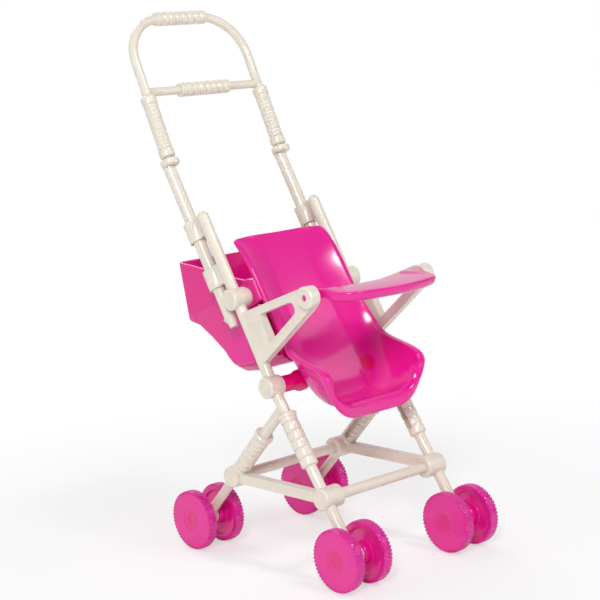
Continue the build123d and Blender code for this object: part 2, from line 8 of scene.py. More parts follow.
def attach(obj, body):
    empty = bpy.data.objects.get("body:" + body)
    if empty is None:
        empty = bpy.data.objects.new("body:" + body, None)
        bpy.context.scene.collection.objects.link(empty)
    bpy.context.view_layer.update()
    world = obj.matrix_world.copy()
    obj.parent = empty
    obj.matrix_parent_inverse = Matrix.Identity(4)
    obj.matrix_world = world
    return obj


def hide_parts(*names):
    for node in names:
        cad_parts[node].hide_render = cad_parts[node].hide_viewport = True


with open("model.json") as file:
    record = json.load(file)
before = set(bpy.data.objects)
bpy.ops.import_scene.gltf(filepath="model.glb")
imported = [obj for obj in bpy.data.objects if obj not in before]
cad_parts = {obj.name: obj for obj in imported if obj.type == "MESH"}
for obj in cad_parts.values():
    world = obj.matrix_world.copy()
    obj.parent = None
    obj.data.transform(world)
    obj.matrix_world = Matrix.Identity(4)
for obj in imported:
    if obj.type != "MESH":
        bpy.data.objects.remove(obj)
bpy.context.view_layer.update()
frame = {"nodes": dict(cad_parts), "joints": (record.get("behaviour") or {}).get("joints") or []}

millimetre = 0.001
print("frame loaded")

# The joints give the places that everything else is measured from
joints = {joint["name"]: joint for joint in frame["joints"]}
frontAxle = Vector(joints["left_front_spin"]["pos_m"])
barUp = Vector(joints["handle_slide"]["axis"]).normalized()
barFront = Vector((0, -barUp.z, barUp.y))
hubValues = {"back": 36.5, "up": 66.4}
lowerHub = Vector((0, frontAxle.y + hubValues["back"] * millimetre, hubValues["up"] * millimetre))


def sidePoint(across, back, up):
    # millimetres to the stroller's left, behind the front axle and above the ground
    return Vector((across * millimetre, frontAxle.y + back * millimetre, up * millimetre))


def barPoint(across, rise, gap):
    # millimetres to the left, up along the bars from the lower hubs and in front of the bars
    return Vector((across * millimetre, 0, 0)) + lowerHub + (barUp * rise + barFront * gap) * millimetre


def newPiece(name, vertices, faces, material):
    mesh = bpy.data.meshes.new(name)
    mesh.from_pydata([tuple(vertex) for vertex in vertices], [], faces)
    mesh.validate()
    mesh.shade_smooth()
    mesh.materials.append(material)
    piece = bpy.data.objects.new(name, mesh)
    bpy.context.scene.collection.objects.link(piece)
    return piece


def bakeModifiers(piece):
    # The finished shape becomes the piece's own mesh
    depsgraph = bpy.context.evaluated_depsgraph_get()
    baked = bpy.data.meshes.new_from_object(piece.evaluated_get(depsgraph))
    piece.modifiers.clear()
    piece.data = baked


def extrudeOutline(outline, inner, outer):
    # Vertices and faces of a plate between two distances to the left, from points in the middle plane
    count = len(outline)
    start, stop = Vector((inner * millimetre, 0, 0)), Vector((outer * millimetre, 0, 0))
    vertices = [point + start for point in outline] + [point + stop for point in outline]
    faces = [tuple(range(count)), tuple(range(2 * count - 1, count - 1, -1))]
    for step in range(count):
        nextStep = (step + 1) % count
        faces.append((nextStep, step, count + step, count + nextStep))
    return vertices, faces


def addEdges(piece, width, angle):
    # Rounds every edge sharper than the angle, and keeps the flats flat
    mesh = bmesh.new()
    mesh.from_mesh(piece.data)
    bmesh.ops.recalc_face_normals(mesh, faces=mesh.faces)
    mesh.to_mesh(piece.data)
    mesh.free()
    bevel = piece.modifiers.new("edges", "BEVEL")
    bevel.width = width * millimetre
    bevel.segments = 3
    bevel.limit_method = "ANGLE"
    bevel.angle_limit = radians(angle)
    bevel.harden_normals = True


def addWall(piece, wall):
    # Turns a sheet into a wall that lies behind it
    solidify = piece.modifiers.new("wall", "SOLIDIFY")
    solidify.thickness = wall * millimetre
    solidify.offset = -1
    solidify.use_even_offset = True


def lathe(start, axis, profile, segments):
    # Vertices and faces of a shape turned about an axis, from (distance, radius) pairs in millimetres
    axis = Vector(axis).normalized()
    side = axis.orthogonal().normalized()
    other = axis.cross(side)
    vertices, faces = [], []
    for distance, radius in profile:
        for step in range(segments):
            angle = 2 * pi * step / segments
            spoke = side * cos(angle) + other * sin(angle)
            vertices.append(Vector(start) + (axis * distance + spoke * radius) * millimetre)
    for ringIndex in range(len(profile) - 1):
        for step in range(segments):
            nextStep = (step + 1) % segments
            low, high = ringIndex * segments, (ringIndex + 1) * segments
            faces.append((low + step, low + nextStep, high + nextStep, high + step))
    faces.append(tuple(reversed(range(segments))))
    faces.append(tuple(range((len(profile) - 1) * segments, len(profile) * segments)))
    return vertices, faces


def addNode(tree, kind, inputs=None, **settings):
    node = tree.nodes.new(kind)
    for name, value in settings.items():
        setattr(node, name, value)
    for name, value in (inputs or {}).items():
        node.inputs[name].default_value = value
    return node


def newGroup(name, kind, inputs, outputs):
    group = bpy.data.node_groups.new(name, kind)
    for socketName, socketType, value in inputs:
        socket = group.interface.new_socket(name=socketName, in_out="INPUT", socket_type=socketType)
        if value is not None:
            socket.default_value = value
    for socketName, socketType in outputs:
        group.interface.new_socket(name=socketName, in_out="OUTPUT", socket_type=socketType)
    return group, addNode(group, "NodeGroupInput"), addNode(group, "NodeGroupOutput")


def mixColors(tree, amount, first, second, result):
    # A mix node's colour sockets are its seventh and eighth inputs and its third output
    mix = addNode(tree, "ShaderNodeMix", data_type="RGBA")
    tree.links.new(amount, mix.inputs["Factor"])
    tree.links.new(first, mix.inputs[6])
    tree.links.new(second, mix.inputs[7])
    tree.links.new(mix.outputs[2], result)


# Moulded skin: faint flow lines, tiny waviness and handling marks, as a colour, a roughness and a height
def makeMouldedSkin():
    group, source, sink = newGroup(
        "mouldedSkin", "ShaderNodeTree",
        [("Base", "NodeSocketColor", (0.8, 0.8, 0.8, 1)), ("Deep", "NodeSocketColor", (0.7, 0.7, 0.7, 1)),
         ("Cloud Scale", "NodeSocketFloat", 60.0), ("Grain Scale", "NodeSocketFloat", 900.0),
         ("Gloss", "NodeSocketFloat", 0.25), ("Scuff", "NodeSocketFloat", 0.12)],
        [("Color", "NodeSocketColor"), ("Roughness", "NodeSocketFloat"), ("Height", "NodeSocketFloat")])
    link = group.links.new
    place = addNode(group, "ShaderNodeTexCoord")
    cloud = addNode(group, "ShaderNodeTexNoise", {"Detail": 3.0, "Roughness": 0.55})
    grain = addNode(group, "ShaderNodeTexNoise", {"Detail": 2.0, "Roughness": 0.5})
    mark = addNode(group, "ShaderNodeTexNoise", {"Detail": 6.0, "Roughness": 0.7, "Distortion": 0.6})
    for texture in (cloud, grain, mark):
        link(place.outputs["Object"], texture.inputs["Vector"])
    link(source.outputs["Cloud Scale"], cloud.inputs["Scale"])
    link(source.outputs["Grain Scale"], grain.inputs["Scale"])
    markScale = addNode(group, "ShaderNodeMath", operation="MULTIPLY")
    markScale.inputs[1].default_value = 3.0
    link(source.outputs["Cloud Scale"], markScale.inputs[0])
    link(markScale.outputs[0], mark.inputs["Scale"])

    mixColors(
        group, cloud.outputs["Fac"], source.outputs["Base"], source.outputs["Deep"], sink.inputs["Color"])

    scuffMask = addNode(group, "ShaderNodeMapRange", {"From Min": 0.55, "From Max": 0.75})
    link(mark.outputs["Fac"], scuffMask.inputs["Value"])
    roughness = addNode(group, "ShaderNodeMath", operation="MULTIPLY_ADD")
    link(scuffMask.outputs[0], roughness.inputs[0])
    link(source.outputs["Scuff"], roughness.inputs[1])
    link(source.outputs["Gloss"], roughness.inputs[2])
    link(roughness.outputs[0], sink.inputs["Roughness"])

    height = addNode(group, "ShaderNodeMath", operation="MULTIPLY_ADD")
    height.inputs[1].default_value = 0.35
    link(grain.outputs["Fac"], height.inputs[0])
    link(cloud.outputs["Fac"], height.inputs[2])
    link(height.outputs[0], sink.inputs["Height"])
    return group


# A deeper colour painted near a place on both sides of the middle, and by a mask: painted shade in the
# seat's hollow core, on the basket's bin and on the seat's stubs, and the deeper colour of thick plastic
# at the wheels' hubs with painted shade between the paired wheels
def makeShadeAndThickSpot():
    group, source, sink = newGroup(
        "shadeAndThickSpot", "ShaderNodeTree",
        [("Color", "NodeSocketColor", (0.8, 0.8, 0.8, 1)),
         ("Shade And Thick", "NodeSocketColor", (0.5, 0.1, 0.2, 1)), ("Place", "NodeSocketVector", (0, 0, 0)),
         ("Radius", "NodeSocketFloat", 0.003), ("Edge", "NodeSocketFloat", 0.001),
         ("Mask", "NodeSocketFloat", 0.0)],
        [("Color", "NodeSocketColor")])
    link = group.links.new
    place = addNode(group, "ShaderNodeTexCoord")
    mirrored = addNode(group, "ShaderNodeVectorMath", operation="ABSOLUTE")
    split = addNode(group, "ShaderNodeSeparateXYZ")
    joined = addNode(group, "ShaderNodeCombineXYZ")
    splitMirrored = addNode(group, "ShaderNodeSeparateXYZ")
    away = addNode(group, "ShaderNodeVectorMath", operation="DISTANCE")
    link(place.outputs["Object"], mirrored.inputs[0])
    link(mirrored.outputs[0], splitMirrored.inputs[0])
    link(place.outputs["Object"], split.inputs[0])
    link(splitMirrored.outputs["X"], joined.inputs["X"])
    link(split.outputs["Y"], joined.inputs["Y"])
    link(split.outputs["Z"], joined.inputs["Z"])
    link(joined.outputs[0], away.inputs[0])
    link(source.outputs["Place"], away.inputs[1])
    outer = addNode(group, "ShaderNodeMath", operation="ADD")
    link(source.outputs["Radius"], outer.inputs[0])
    link(source.outputs["Edge"], outer.inputs[1])
    near = addNode(
        group, "ShaderNodeMapRange", {"To Min": 1.0, "To Max": 0.0}, interpolation_type="SMOOTHSTEP")
    link(away.outputs["Value"], near.inputs["Value"])
    link(source.outputs["Radius"], near.inputs["From Min"])
    link(outer.outputs[0], near.inputs["From Max"])
    either = addNode(group, "ShaderNodeMath", operation="MAXIMUM")
    link(near.outputs[0], either.inputs[0])
    link(source.outputs["Mask"], either.inputs[1])
    mixColors(
        group, either.outputs[0], source.outputs["Color"], source.outputs["Shade And Thick"], sink.inputs["Color"])
    return group


plasticValues = {
    "ivoryBase": (0.78, 0.725, 0.625, 1), "ivoryDeep": (0.765, 0.707, 0.605, 1),
    "pinkBase": (0.81, 0.008, 0.32, 1), "pinkDeep": (0.76, 0.005, 0.28, 1),
    # painted shade in hollows and on shaded pieces, also the deeper colour of thick plastic at the wheels'
    # hubs
    "pinkShadeAndThick": (0.70, 0.0, 0.13, 1),
    "shine": 0.35, "scuff": 0.05, "ivoryGloss": 0.27, "pinkGloss": 0.15,
    "refraction": 1.49, "shineGloss": 0.05,
    "ripple": 0.5, "ivoryRipple": 0.00004, "pinkRipple": 0.00005,
    "ivoryScatter": 0.12, "pinkScatter": 0.25, "scatterDepth": 0.0015,
    "ivoryScatterColor": (1.0, 0.8, 0.6), "pinkScatterColor": (1.0, 0.15, 0.45),
    # how far the bin and the stubs are painted deeper as shade, and how far the wheels' hubs are painted
    # deeper for thick plastic and shade
    "spotRadius": 0.0023, "spotEdge": 0.0014, "wheelThickAndShade": 0.65, "basketShade": 0.3, "stubShade": 0.8,
    # a place that is away from every piece, where a spot colours nothing
    "noSpot": (0, 0, -1),
}
mouldedSkin = makeMouldedSkin()
shadeAndThickSpot = makeShadeAndThickSpot()


def makePlastic(name, color):
    # The values of one colour of plastic start with its name
    values = plasticValues
    material = bpy.data.materials.new(name)
    material.use_nodes = True
    tree = material.node_tree
    shader = tree.nodes["Principled BSDF"]
    skin = addNode(tree, "ShaderNodeGroup", node_tree=mouldedSkin)
    skin.inputs["Base"].default_value = values[f"{color}Base"]
    skin.inputs["Deep"].default_value = values[f"{color}Deep"]
    skin.inputs["Gloss"].default_value = values[f"{color}Gloss"]
    skin.inputs["Scuff"].default_value = values["scuff"]
    bump = addNode(
        tree, "ShaderNodeBump", {"Strength": values["ripple"], "Distance": values[f"{color}Ripple"]})
    tree.links.new(skin.outputs["Color"], shader.inputs["Base Color"])
    tree.links.new(skin.outputs["Roughness"], shader.inputs["Roughness"])
    tree.links.new(skin.outputs["Height"], bump.inputs["Height"])
    tree.links.new(bump.outputs["Normal"], shader.inputs["Normal"])
    shader.inputs["IOR"].default_value = values["refraction"]
    shader.inputs["Coat Weight"].default_value = values["shine"]
    shader.inputs["Coat Roughness"].default_value = values["shineGloss"]
    shader.inputs["Subsurface Weight"].default_value = values[f"{color}Scatter"]
    shader.inputs["Subsurface Radius"].default_value = values[f"{color}ScatterColor"]
    shader.inputs["Subsurface Scale"].default_value = values["scatterDepth"]
    material.diffuse_color = values[f"{color}Base"]
    return material


ivoryPlastic = makePlastic("ivoryPlastic", "ivory")
pinkPlastic = makePlastic("pinkPlastic", "pink")


def addShadeAndThickSpot(material, place, allOver=0, useMask=False):
    # Deepens the pink near a place or all over, as painted shade, or by the piece's own thickness map, as
    # thick plastic at a wheel's hub with painted shade between the pair
    tree = material.node_tree
    shader = tree.nodes["Principled BSDF"]
    spot = addNode(tree, "ShaderNodeGroup", node_tree=shadeAndThickSpot)
    spot.inputs["Shade And Thick"].default_value = plasticValues["pinkShadeAndThick"]
    spot.inputs["Place"].default_value = place
    spot.inputs["Radius"].default_value = plasticValues["spotRadius"]
    spot.inputs["Edge"].default_value = plasticValues["spotEdge"]
    tree.links.new(shader.inputs["Base Color"].links[0].from_socket, spot.inputs["Color"])
    tree.links.new(spot.outputs["Color"], shader.inputs["Base Color"])
    spot.inputs["Mask"].default_value = allOver
    if useMask:
        places = addNode(tree, "ShaderNodeUVMap", uv_map="thickness")
        split = addNode(tree, "ShaderNodeSeparateXYZ")
        scaled = addNode(tree, "ShaderNodeMath", operation="MULTIPLY")
        scaled.inputs[1].default_value = plasticValues["wheelThickAndShade"]
        tree.links.new(places.outputs["UV"], split.inputs[0])
        tree.links.new(split.outputs["Y"], scaled.inputs[0])
        tree.links.new(scaled.outputs[0], spot.inputs["Mask"])


# The seat's spot, painted shade where the hollow stub's core opens behind the pan, waits until its shell
# is made
seatPlastic = pinkPlastic.copy()
seatPlastic.name = "seatPlastic"
wheelPlastic = pinkPlastic.copy()
wheelPlastic.name = "wheelPlastic"
# the wheels are painted deeper round the hub: the thick plastic there, and painted shade between the
# paired wheels
addShadeAndThickSpot(wheelPlastic, plasticValues["noSpot"], useMask=True)
# the whole bin is painted a deeper pink as painted shade; its plates and ears keep the lit pink
basketPlastic = pinkPlastic.copy()
basketPlastic.name = "basketPlastic"
addShadeAndThickSpot(basketPlastic, plasticValues["noSpot"], plasticValues["basketShade"])
# the seat's stubs are painted a deeper pink all over as painted shade under the seat
stubPlastic = pinkPlastic.copy()
stubPlastic.name = "stubPlastic"
addShadeAndThickSpot(stubPlastic, plasticValues["noSpot"], plasticValues["stubShade"])
print("plastics made")

ivoryValues = {
    "bodies": {
        "left_side_frame": "frame", "right_side_frame": "frame", "front_cross_bar": "frame",
        "rear_cross_bar": "frame", "handle": "handle",
    },
    "edge": 0.42, "edgeAngle": 35, "mergeDistance": 0.002, "flatAngle": 0.4,
}
for nodeName, nodeObject in frame["nodes"].items():
    nodeObject.data.materials.clear()
    nodeObject.data.materials.append(ivoryPlastic if nodeName in ivoryValues["bodies"] else pinkPlastic)


def softenIvory(nodeName, bodyName):
    # The same moulding with its edges rounded
    values = ivoryValues
    node = frame["nodes"][nodeName]
    mesh = bmesh.new()
    mesh.from_mesh(node.data)
    mesh.transform(node.matrix_world)
    bmesh.ops.remove_doubles(mesh, verts=mesh.verts, dist=values["mergeDistance"] * millimetre)
    bmesh.ops.dissolve_limit(
        mesh, angle_limit=radians(values["flatAngle"]), verts=mesh.verts, edges=mesh.edges)
    piece = newPiece(f"{nodeName}_moulding", [], [], ivoryPlastic)
    mesh.to_mesh(piece.data)
    mesh.free()
    piece.data.shade_smooth()
    addEdges(piece, values["edge"], values["edgeAngle"])
    bakeModifiers(piece)
    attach(piece, bodyName)
    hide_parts(nodeName)


for nodeName, bodyName in ivoryValues["bodies"].items():
    softenIvory(nodeName, bodyName)
print("frame dressed")

seatValues = {
    "panelGap": 4.2, "panelHalf": 9.6, "panelHollow": 0.3, "floorHalf": 11.5, "wall": 1.3, "levels": 3,
    # shares across the panel and along the curve beside it where a row has its points
    "panelShares": (0, 0.35, 0.7, 0.93, 1), "curveShares": (0.12, 0.4, 0.65, 0.88, 1.0),
    # centre's rise and crest's (across, rise, gap), down the back along the bars
    "backRows": [
        (55.8, (19.9, 55.2, 4.6)), (54.0, (20.2, 53.2, 5.4)), (50.0, (20.2, 49.0, 6.6)),
        (45.0, (20.2, 44.0, 7.3)), (38.0, (20.2, 38.0, 7.7)), (30.0, (20.2, 30.0, 7.8)),
        (22.5, (20.3, 24.0, 8.3)), (15.5, (20.6, 18.2, 9.3)), (8.0, (21.2, 12.6, 10.1)),
    ],
    # the back keeps one section over its first rows, then changes down to the last
    "evenRows": 4,
    # how a row leaves the panel and comes up to the crest: (across, rise, gap) for the back's section
    # and for its foot
    "backStart": ((1.4, 0, 0), (4.8, 0, 0)), "backEnd": ((4.2, 0, 1.5), (1.8, 2.4, 2.0)),
    "topEnd": (1.6, -0.5, 0),
    # centre's (back, up) and crest's (across, back, up), round the foot of the back and along the floor
    "panRows": [
        ((33.0, 69.5), (21.5, 32.4, 79.6)), ((29.9, 63.9), (21.6, 29.6, 78.0)),
        ((27.2, 60.6), (21.6, 26.0, 77.0)), ((23.8, 59.2), (21.6, 21.8, 76.0)),
        ((20.5, 58.8), (21.6, 17.0, 74.9)), ((17.8, 59.0), (21.6, 13.4, 73.3)),
    ],
    # the same for the pan: (across, back, up), with its end for the first row and for those past easeRows
    "easeRows": 3, "panStart": (4.6, 0, 0), "panEnd": ((1.4, -0.3, 4.0), (0.5, 0, 8.6)),
    # crest along the front from the middle to the corner: (across, back, up)
    "frontCrest": [
        (0, 15.7, 59.8), (4.6, 15.4, 59.9), (9.2, 14.8, 60.1), (12.6, 14.2, 60.5), (13.6, 13.9, 60.8),
        (16.0, 13.4, 61.6), (18.5, 12.8, 63.3), (20.2, 12.2, 65.6), (21.1, 11.6, 68.2), (21.5, 11.4, 70.8),
    ],
    # rings from the edge over the rim and down: shares of how far it turns out and then down
    "rimRings": [(0.14, -0.03), (0.5, -0.06), (0.92, 0.0), (1.02, 0.12), (1.02, 0.5), (1.0, 1.0)],
    # how far the rim turns out and down: (across, rise, gap) on the back, (across, back, up) on the pan
    "backTurn": ((1.9, 0, 0.1), (0.1, 0, -1.7)), "cornerTurn": ((1.5, 0.6, -0.3), (0.1, 0, -1.7)),
    "topTurn": ((0, 0.5, -0.5), (0, 0, -1.7)),
    "panTurn": ((2.7, 0, -0.15), (0.1, 0, -1.7)), "footTurn": ((2.7, -0.6, -0.1), (0.2, 1.8, -2.2)),
    # the lip along the front of the pan turns out and down most in the middle
    "lipAcross": 2.9, "lipWidth": 2.8, "lipDip": 1.2, "lipTaper": 0.7,
    "lipBulge": 0.3, "lipBack": 0.2, "lipTuck": 4.0, "lipDrop": 4.3,
    "stubRadius": 3.0, "stubRootRadius": 3.9, "stubInner": 12.5, "stubOuter": 24.3, "stubSegments": 48,
    # where the hollow stub's core is sought, for the seat's spot of painted shade
    "coreAcross": 14.8, "coreRise": -1.1, "coreGap": 4.6, "coreFacing": (0.75, 0.6), "coreTurn": -0.3,
}


def alongBars(across, rise, gap):
    # millimetres as a direction: to the left, up along the bars and to their front
    return Vector((across, 0, 0)) + barUp * rise + barFront * gap


def bezier(start, startPull, endPull, end, amount):
    rest = 1 - amount
    return (start * rest ** 3 + startPull * 3 * rest ** 2 * amount
            + endPull * 3 * rest * amount ** 2 + end * amount ** 3)


def halfRow(centre, flatHalf, crest, startPull, endPull, hollow):
    # Flat from the middle out to the panel's edge, then one curve up to the crest of the rim
    points = []
    for share in seatValues["panelShares"]:
        points.append(centre + (Vector((flatHalf * share, 0, 0)) + hollow * share ** 2) * millimetre)
    edge = points[-1]
    start, end = edge + startPull * millimetre, crest - endPull * millimetre
    for amount in seatValues["curveShares"]:
        points.append(bezier(edge, start, end, crest, amount))
    return points


def makeSeatRows():
    values = seatValues
    rows = []
    even, last = values["evenRows"], len(values["backRows"]) - 1
    for rowNumber, (rise, crest) in enumerate(values["backRows"]):
        share = max(0, rowNumber - even) / (last - even)
        startPull, endPull = (
            alongBars(*Vector(section).lerp(Vector(foot), share))
            for section, foot in (values["backStart"], values["backEnd"]))
        if rowNumber == 0:
            endPull = alongBars(*values["topEnd"])
        hollow = barFront * values["panelHollow"]
        half = values["panelHalf"] + (values["floorHalf"] - values["panelHalf"]) * share
        centre = barPoint(0, rise, values["panelGap"])
        rows.append(halfRow(centre, half, barPoint(*crest), startPull + hollow * 0.5, endPull, hollow))
    hollow = Vector((0, 0, values["panelHollow"]))
    firstEnd, lastEnd = (Vector(pull) for pull in values["panEnd"])
    for rowNumber, (centre, crest) in enumerate(values["panRows"]):
        endPull = firstEnd.lerp(lastEnd, min(1, rowNumber / values["easeRows"]))
        middle, half, startPull = sidePoint(0, *centre), values["floorHalf"], Vector(values["panStart"])
        rows.append(halfRow(middle, half, sidePoint(*crest), startPull, endPull, hollow))
    rows.append([sidePoint(*point) for point in values["frontCrest"]])
    return rows


def makeRimTurns(rowCount, columns):
    # How the rim turns out and down, at each vertex of the edge's left half
    values = seatValues
    backCount, last = len(values["backRows"]), rowCount - 1
    turns = {}
    for rowNumber in range(rowCount):
        if rowNumber < backCount:
            name = "cornerTurn" if rowNumber == 0 else "backTurn"
            turn = [alongBars(*part) for part in values[name]]
        else:
            name = "panTurn" if rowNumber < last - 1 else "footTurn"
            turn = [Vector(part) for part in values[name]]
        turns[(rowNumber, columns - 1)] = turn
    for column in range(columns - 1):
        turns[(0, column)] = [alongBars(*part) for part in values["topTurn"]]
    flat = len(values["panelShares"]) - 1
    for column in range(columns):
        share = max(0, column - flat) / (columns - 1 - flat)
        out = Vector((
            values["lipAcross"] * share ** 0.8, -values["lipWidth"] * (1 - values["lipTaper"] * share),
            -values["lipDip"] * (1 - share)))
        drop = Vector((
            -values["lipBulge"] * sin(pi * share), values["lipBack"] + values["lipTuck"] * share ** 2,
            -values["lipDrop"] * (1 - values["lipTaper"] * share ** 2)))
        turns[(last, column)] = [out, drop]
    return turns


def makeSeatShell():
    values = seatValues
    rows = makeSeatRows()
    columns = len(rows[0])
    vertices, faces = [], []
    for row in rows:
        mirrored = [Vector((-point.x, point.y, point.z)) for point in reversed(row[1:])]
        vertices += mirrored + row
    width = 2 * columns - 1
    for rowNumber in range(len(rows) - 1):
        for column in range(width - 1):
            first = rowNumber * width + column
            faces.append((first, first + width, first + width + 1, first + 1))

    # The edge's vertices in order, round the whole rim
    turns, last = makeRimTurns(len(rows), columns), len(rows) - 1
    edge = [(0, column) for column in range(width)]
    edge += [(rowNumber, width - 1) for rowNumber in range(1, len(rows))]
    edge += [(last, column) for column in range(width - 2, -1, -1)]
    edge += [(rowNumber, 0) for rowNumber in range(last - 1, 0, -1)]
    previous = [rowNumber * width + column for rowNumber, column in edge]
    for outShare, dropShare in values["rimRings"]:
        ring = []
        for rowNumber, column in edge:
            half = column - (columns - 1)
            out, drop = turns[(rowNumber, abs(half))]
            side = Vector((-1 if half < 0 else 1, 1, 1))
            start = vertices[rowNumber * width + column]
            vertices.append(start + (out * outShare + drop * dropShare) * side * millimetre)
            ring.append(len(vertices) - 1)
        for step in range(len(edge)):
            nextStep = (step + 1) % len(edge)
            faces.append((previous[step], previous[nextStep], ring[nextStep], ring[step]))
        previous = ring
    shell = newPiece("seatShell", vertices, faces, seatPlastic)
    addWall(shell, values["wall"])
    smooth = shell.modifiers.new("smooth", "SUBSURF")
    smooth.levels = smooth.render_levels = values["levels"]
    bakeModifiers(shell)
    return shell


def findCore(shell):
    # Where the hollow stub ends behind the pan, where the seat's spot of painted shade goes: the nearest
    # place inside the left wall
    values = seatValues
    wanted = barPoint(values["coreAcross"], values["coreRise"], values["coreGap"])
    outFacing, frontFacing = values["coreFacing"]
    outward = (Vector((outFacing, 0, 0)) - barFront * frontFacing).normalized()
    turn = values["coreTurn"]
    inside = [vertex.co for vertex in shell.data.vertices if vertex.normal.dot(outward) < turn]
    return min(inside, key=lambda place: (place - wanted).length).copy()


def makeSeat():
    values = seatValues
    shell = makeSeatShell()
    # a dark spot of painted shade stands for the opening of the hollow stub's core, which the shell does
    # not have
    addShadeAndThickSpot(seatPlastic, findCore(shell))
    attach(shell, "frame")
    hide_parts("seat")
    for side, sideName in ((1, "left"), (-1, "right")):
        radius, root = values["stubRadius"], values["stubRootRadius"]
        inner, outer = values["stubInner"], values["stubOuter"]
        profile = [
            (0, 1.2), (0.3, root - 0.5), (0.9, root), (3.4, root), (4.6, radius + 0.35), (6.0, radius),
            (outer - inner - 0.5, radius), (outer - inner, radius - 0.4),
        ]
        start = barPoint(side * inner, 0, 0)
        vertices, faces = lathe(start, (side, 0, 0), profile, values["stubSegments"])
        stub = newPiece(f"{sideName}SeatStub", vertices, faces, stubPlastic)
        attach(stub, "frame")
        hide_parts("seat")


makeSeat()
print("seat made")

trayValues = {
    "halfWidth": 23.85, "back": 12.55, "backBow": 5.0, "backPower": 2.2,
    "front": -3.65, "frontRadius": 52.0, "cornerAcross": 6.0, "cornerBack": 6.0,
    "rearRadius": 1.8, "earStart": 17.4, "earStep": 0.9, "earRun": 2.6,
    "hingeRise": 0.55, "hingeFront": 5.0, "hingeLength": 5.0, "hingeWidth": 1.4,
    "top": 102.2, "crown": 0.35, "columns": 64, "rows": 12,
    # the edge from the top down and in under the shell:
    # (inset all round, extra inset at the front, below top)
    "edge": [(-0.22, 0, 0.08), (-0.39, 0, 0.4), (-0.45, 0.05, 1.1), (-0.38, 0.5, 2.4), (-0.1, 0.9, 3.1),
             (0.4, 0.9, 3.35), (0.8, 0.9, 3.1), (0.9, 0.9, 2.2), (1.0, 0.9, 1.6), (1.25, 0.9, 1.45)],
    # pin's (distance from the middle, radius)
    "pin": [(21.0, 0.7), (21.3, 1.1), (30.0, 1.1), (30.3, 0.9), (30.4, 0.4)], "pinSegments": 32,
}


def trayBack(across):
    values = trayValues
    half, radius = values["halfWidth"], values["rearRadius"]
    back = values["back"] + values["backBow"] * (across / half) ** values["backPower"]
    back += values["earStep"] * min(1, max(0, (across - values["earStart"]) / values["earRun"]))
    turned = min(1, max(0, across - half + radius) / radius)
    return back - radius * (1 - (1 - turned ** 2) ** 0.5)


def trayFront(across):
    values = trayValues
    half, corner = values["halfWidth"], values["cornerAcross"]
    turned = min(1, max(0, across - half + corner) / corner)
    front = values["front"] + across ** 2 / (2 * values["frontRadius"])
    return front + values["cornerBack"] * (1 - (1 - turned ** 2) ** 0.5)


def makeTray():
    values = trayValues
    columns, rows = values["columns"], values["rows"]
    vertices, faces = [], []
    for column in range(columns + 1):
        # columns gather towards the ends, where the corners turn
        across = values["halfWidth"] * sin(pi / 2 * (2 * column / columns - 1))
        back, front = trayBack(abs(across)), trayFront(abs(across))
        for row in range(rows + 1):
            share = row / rows
            place = front + (back - front) * share
            crown = values["crown"] * (1 - (2 * share - 1) ** 2)
            # the ends thicken round the hinge
            hinge = min(1, max(0, (place - values["hingeFront"]) / values["hingeLength"]))
            hinge *= min(1, max(0, (abs(across) - values["earStart"]) / values["hingeWidth"]))
            crown += values["hingeRise"] * hinge ** 2 * (3 - 2 * hinge)
            vertices.append(sidePoint(across, place, values["top"] + crown))
    for column in range(columns):
        for row in range(rows):
            first = column * (rows + 1) + row
            faces.append((first, first + rows + 1, first + rows + 2, first + 1))
    loop = [column * (rows + 1) for column in range(columns + 1)]
    loop += [columns * (rows + 1) + row for row in range(1, rows + 1)]
    loop += [column * (rows + 1) + rows for column in range(columns - 1, -1, -1)]
    loop += list(range(rows - 1, 0, -1))
    places = [vertices[index].copy() for index in loop]
    inwards = []
    for step in range(len(loop)):
        along = places[(step + 1) % len(loop)] - places[step - 1]
        inwards.append(Vector((-along.y, along.x, 0)).normalized())
    previous = loop
    for inset, frontInset, below in values["edge"]:
        ring = []
        for place, inward in zip(places, inwards):
            depth = inset + frontInset * max(0, inward.y)
            shift = inward * depth - Vector((0, 0, below))
            vertices.append(place + shift * millimetre)
            ring.append(len(vertices) - 1)
        for step in range(len(loop)):
            nextStep = (step + 1) % len(loop)
            faces.append((previous[nextStep], previous[step], ring[step], ring[nextStep]))
        previous = ring
    # the underside is the top's grid again, drawn in to the last ring
    under = dict(zip(loop, previous))
    for column in range(columns + 1):
        start, end = column * (rows + 1), column * (rows + 1) + rows
        for row in range(1, rows):
            if start + row not in under:
                vertices.append(vertices[under[start]].lerp(vertices[under[end]], row / rows))
                under[start + row] = len(vertices) - 1
    for column in range(columns):
        for row in range(rows):
            first = column * (rows + 1) + row
            corners = (first + 1, first + rows + 2, first + rows + 1, first)
            faces.append(tuple(under[corner] for corner in corners))
    tray = newPiece("trayShell", vertices, faces, pinkPlastic)
    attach(tray, "tray")
    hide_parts("tray")
    pivot = Vector(joints["tray_tilt"]["pos_m"])
    for side, sideName in ((1, "left"), (-1, "right")):
        vertices, faces = lathe(pivot, (side, 0, 0), values["pin"], values["pinSegments"])
        pin = newPiece(f"{sideName}TrayPin", vertices, faces, pinkPlastic)
        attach(pin, "tray")
        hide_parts("tray")


makeTray()
print("tray made")

